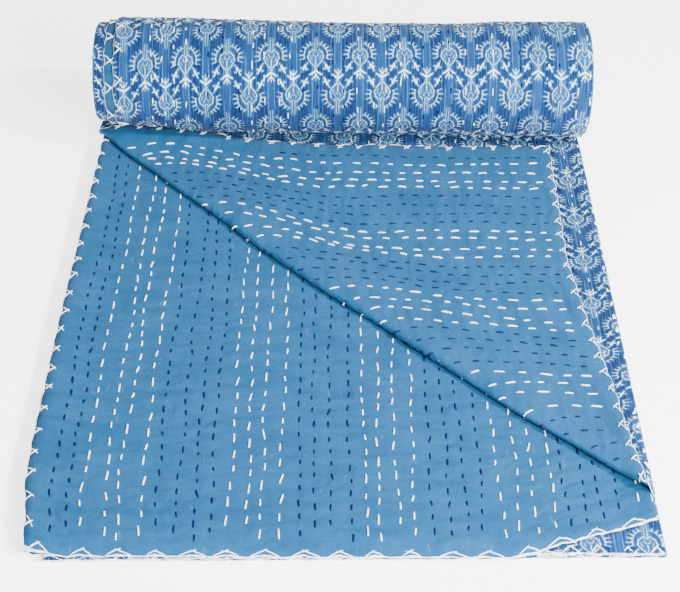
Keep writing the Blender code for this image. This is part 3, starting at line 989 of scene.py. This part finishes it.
def print_finish():
    """The printed side: streaky blue stripes under two sets of ring flowers in white."""
    f = Finish("printed_cotton")
    place, u, v = f.cloth_place()
    wobble = f.node("ShaderNodeTexNoise", Vector=place, Scale=0.22, Detail=2.0)
    shift = f.vector("SCALE", f.vector("SUBTRACT", wobble.outputs["Color"], (0.5, 0.5, 0.5)), scale=1.6)
    drawn = f.vector("ADD", place, shift)
    split = f.node("ShaderNodeSeparateXYZ", i0=drawn)
    wu, askew = split.outputs[0], f.math("MAXIMUM", f.math("SUBTRACT", u, 1000 * across(3, 0.5)), 0.0)
    wv = f.math("MULTIPLY_ADD", f.math("MULTIPLY", askew, askew), -ASKEW, split.outputs[1])
    group = motif_group()
    best = inside = None
    for du, dv, flip in ((0.0, 0.0, 1.0), (0.5, -SECOND_ROW, -1.0)):
        cu = f.math("ADD", f.math("DIVIDE", f.math("SUBTRACT", wu, PRINT_U), MOTIF_WIDTH), du + 0.5)
        cv = f.math("ADD", f.math("DIVIDE", f.math("SUBTRACT", wv, PRINT_V), MOTIF_HEIGHT), dv + 0.5)
        mu = f.math("MULTIPLY", f.math("SUBTRACT", f.math("FRACT", cu), 0.5), MOTIF_WIDTH)
        mv = f.math("MULTIPLY", f.math("SUBTRACT", f.math("FRACT", cv), 0.5), MOTIF_HEIGHT * flip)
        at = f.node("ShaderNodeCombineXYZ", i0=mu, i1=mv).outputs[0]
        node = f.node("ShaderNodeGroup", {"node_tree": group}, i0=at)
        far, radius = node.outputs
        best = far if best is None else f.math("MINIMUM", best, far)
        inside = radius if inside is None else f.math("MINIMUM", inside, radius)
    rough_edge = f.math("MULTIPLY", f.math("SUBTRACT", f.noise(place, 1.4, 2.0), 0.5), 0.9)
    line = f.math("ADD", best, rough_edge)
    white = f.step(line, -0.5, 0.22, 1.0, 0.0)
    halo = f.step(line, 0.2, 1.9, 1.0, 0.0)
    streak = f.noise(f.vector("MULTIPLY", place, (0.36, 0.018, 1.0)), 1.0, 2.0, 0.6)
    column = f.math("DIVIDE", f.math("SUBTRACT", wu, PRINT_U), MOTIF_WIDTH / 2)
    aside = f.math("MULTIPLY", f.math("PINGPONG", column, 0.5), MOTIF_WIDTH / 2)
    band = f.step(f.math("MULTIPLY_ADD", f.math("SUBTRACT", streak, 0.5), 30.0, aside), -2.0, 11.5)
    ground = f.mix(band, dyed(72, 116, 180, 1.35), dyed(32, 66, 128, 1.3))
    broken = f.step(f.noise(f.vector("MULTIPLY", place, (0.3, 0.04, 1.0)), 1.0, 2.0), 0.34, 0.56)
    thin_line = None
    for middle_of_line, half, share in LIGHT_LINES:
        far = f.math("ABSOLUTE", f.math("SUBTRACT", aside, middle_of_line))
        made = f.step(far, 0.2 * half, half, share, 0.0)
        thin_line = made if thin_line is None else f.math("MAXIMUM", thin_line, made)
    thin_line = f.math("MULTIPLY", thin_line, broken)
    ground = f.mix(thin_line, ground, dyed(140, 190, 238, 1.5))
    washed = dyed(122, 172, 226, 1.5)
    fill = f.math("MULTIPLY", f.step(inside, 8.0, 13.0, 1.0, 0.0), 0.22)
    ground = f.mix(fill, ground, washed)
    ground = f.mix(f.math("MULTIPLY", halo, 0.6), ground, washed)
    printed = f.mix(white, ground, PRINT_WHITE)
    cloudy = f.step(f.noise(place, 0.03, 3.0), 0.3, 0.7, 0.93, 1.05)
    f.put(f.shader.inputs["Base Color"], f.vector("SCALE", printed, scale=cloudy))
    bump_and_sheen(f, place, u, v)
    return f.material


def plain_finish():
    """The plain side: blue cotton, a little cloudy, drawn down along the rows, with painted shade in the
    troughs of its ripples.
    """
    f = Finish("plain_cotton")
    place, u, v = f.cloth_place()
    cloudy = f.noise(place, 0.022, 4.0, 0.6)
    base = f.mix(f.step(cloudy, 0.3, 0.7), dyed(79, 128, 178, 1.5), dyed(91, 141, 191, 1.5))
    slub = f.noise(f.vector("MULTIPLY", place, (0.18, 1.5, 1.0)), 1.0, 3.0, 0.7)
    slub_two = f.noise(f.vector("MULTIPLY", place, (1.5, 0.18, 1.0)), 1.0, 3.0, 0.7)
    slubs_and_ripple_shade = f.step(f.math("ADD", slub, slub_two), 0.7, 1.3, 0.86, 1.13)
    # Painted shade: darker streaks across the rows stand for the shade in the troughs of the cloth's
    # ripples.
    ripple_shade = f.noise(f.vector("MULTIPLY", place, (0.016, 0.085, 1.0)), 1.0, 2.0, 0.5)
    slubs_and_ripple_shade = f.math("MULTIPLY", slubs_and_ripple_shade, f.step(ripple_shade, 0.36, 0.52, 0.90, 1.02))
    worn = f.step(f.noise(f.vector("MULTIPLY", place, (0.16, 0.045, 1.0)), 1.0, 3.0, 0.65), 0.63, 0.74)
    base = f.mix(f.math("MULTIPLY", worn, 0.5), base, dyed(150, 195, 226))
    f.put(f.shader.inputs["Base Color"], f.vector("SCALE", base, scale=slubs_and_ripple_shade))
    bump_and_sheen(f, place, u, v)
    return f.material


def bump_and_sheen(f, place, u, v):
    """The matt surface of quilted cotton: its weave, and puckers that the stitches leave."""
    bend = f.node("ShaderNodeTexNoise", Vector=place, Scale=0.03, Detail=0.0).outputs["Color"]
    bent = f.vector("ADD", place, f.vector("SCALE", bend, scale=4.0))
    pucker = f.noise(f.vector("MULTIPLY", bent, (0.016, 0.085, 1.0)), 1.0, 0.8, 0.4)
    crinkle = f.noise(place, 0.22, 2.0, 0.5)
    height = f.math("ADD", f.math("MULTIPLY", pucker, 4.2), f.math("MULTIPLY", crinkle, 0.10))
    height = f.math("ADD", height, f.weave(u, v, 0.05))
    height = f.math("SUBTRACT", height, f.math("MULTIPLY", f.rows(u), 0.12))
    bump = f.node("ShaderNodeBump", Strength=0.55, Distance=0.001, Height=height)
    f.put(f.shader.inputs["Normal"], bump.outputs[0])
    f.shader.inputs["Roughness"].default_value = 0.88
    f.shader.inputs["Specular IOR Level"].default_value = 0.12
    f.shader.inputs["Sheen Weight"].default_value = 0.06
    f.shader.inputs["Sheen Roughness"].default_value = 0.5
    f.shader.inputs["Sheen Tint"].default_value = (0.75, 0.85, 1.0, 1.0)


def thread_finish(name, dark, light, rough, shine):
    """Twisted cotton thread: plies that wind along it, with painted shade in the grooves between them,
    and loose fuzz.
    """
    f = Finish(name)
    place, along_it, around = f.cloth_place()
    along_ply = f.math("MULTIPLY", along_it, math.tau / PLY_LENGTH)
    ply = f.math("MULTIPLY_ADD", around, math.tau / (1000 * SIDES), along_ply)
    twist = f.math("SINE", ply)
    fuzz = f.noise(place, 1.3, 2.0)
    # Painted shade: the colour is darker in the grooves between the plies and lighter on their crests;
    # the fuzz adds a random tone.
    share = f.step(f.math("ADD", f.math("MULTIPLY", twist, 0.35), fuzz), 0.2, 0.9)
    f.put(f.shader.inputs["Base Color"], f.mix(share, dark, light))
    bump = f.node("ShaderNodeBump", Strength=0.6, Distance=0.0003, Height=twist)
    f.put(f.shader.inputs["Normal"], bump.outputs[0])
    f.shader.inputs["Roughness"].default_value = rough
    f.shader.inputs["Specular IOR Level"].default_value = shine
    return f.material


# The camera, in the plan: place, tilt down, turn right, roll, and its length in picture widths
CAMERA_PLACE = Vector((0.2645, -0.8678, 1.0566))
CAMERA_TILT = math.radians(40.68)
CAMERA_TURN = math.radians(0.85)
CAMERA_ROLL = math.radians(0.86)
CAMERA_LENGTH = 1510 / 680


def camera():
    """The camera at the photo's angle."""
    data = bpy.data.cameras.new("camera")
    data.sensor_fit = "HORIZONTAL"
    data.sensor_width = 36.0
    data.lens = 36.0 * CAMERA_LENGTH
    data.clip_start = 0.05
    obj = bpy.data.objects.new("camera", data)
    bpy.context.scene.collection.objects.link(obj)
    ahead = Vector(
        (
            math.sin(CAMERA_TURN) * math.cos(CAMERA_TILT),
            math.cos(CAMERA_TURN) * math.cos(CAMERA_TILT),
            -math.sin(CAMERA_TILT),
        )
    )
    right = Vector((math.cos(CAMERA_TURN), -math.sin(CAMERA_TURN), 0))
    up = right.cross(ahead)
    level = Matrix((right, up, -ahead)).transposed()
    turned = level @ Matrix.Rotation(CAMERA_ROLL, 3, "Z")
    obj.matrix_world = Matrix.Translation(CAMERA_PLACE + PLAN_TO_FRAME) @ turned.to_4x4()
    bpy.context.scene.camera = obj


def floor():
    """A plain pale floor."""
    f = Finish("pale_floor")
    place = f.node("ShaderNodeTexCoord").outputs["Object"]
    tone = f.step(f.noise(place, 3.0, 2.0), 0.3, 0.7)
    f.put(f.shader.inputs["Base Color"], f.mix(tone, (0.90, 0.90, 0.90, 1), (0.93, 0.93, 0.93, 1)))
    f.shader.inputs["Roughness"].default_value = 0.8
    f.shader.inputs["Emission Color"].default_value = (1.0, 1.0, 1.0, 1.0)
    f.shader.inputs["Emission Strength"].default_value = 2.6
    bpy.ops.mesh.primitive_plane_add(size=24, location=(0, 0, quilt_low.z - 0.0005))
    plane = bpy.context.object
    plane.name = "floor"
    plane.data.materials.append(f.material)


def area_light(name, place, aim, size, power):
    """A soft square light that looks at a point."""
    data = bpy.data.lights.new(name, "AREA")
    data.size = size
    data.energy = power
    obj = bpy.data.objects.new(name, data)
    bpy.context.scene.collection.objects.link(obj)
    way = (Vector(aim) - Vector(place)).to_track_quat("-Z", "Y").to_matrix().to_4x4()
    obj.matrix_world = Matrix.Translation(Vector(place)) @ way


def lights():
    """Soft light from all round, and two lamps that stand at the front right."""
    world = bpy.data.worlds.new("soft_light")
    world.use_nodes = True
    world.node_tree.nodes["Background"].inputs[0].default_value = (1.0, 1.0, 1.0, 1)
    world.node_tree.nodes["Background"].inputs[1].default_value = 1.0
    bpy.context.scene.world = world
    area_light("side_light", (1.5, -0.7, 1.6), (0, 0, 0), 0.25, 112)
    area_light("front_light", (0.95, -1.5, 1.05), (0, 0, 0), 0.6, 112)


def main():
    bpy.ops.object.select_all(action="DESELECT")
    camera()
    floor()
    lights()
    cloth = quilt_cloth([print_finish(), plain_finish()])
    white = thread_finish("white_thread", colour(238, 242, 246), colour(254, 254, 255), 0.7, 0.4)
    navy = thread_finish("navy_thread", (0.003, 0.004, 0.030, 1.0), (0.009, 0.009, 0.090, 1.0), 0.8, 0.08)
    bit = thread_bit()
    threads = [
        running_stitches("w", "white_stitches", white, bit, WHITE_RADIUS),
        running_stitches("n", "navy_stitches", navy, bit, NAVY_RADIUS),
        edging(white, bit),
    ]
    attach(cloth, "root")
    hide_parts("quilt")
    for thread in threads:
        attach(thread, "root")


main()
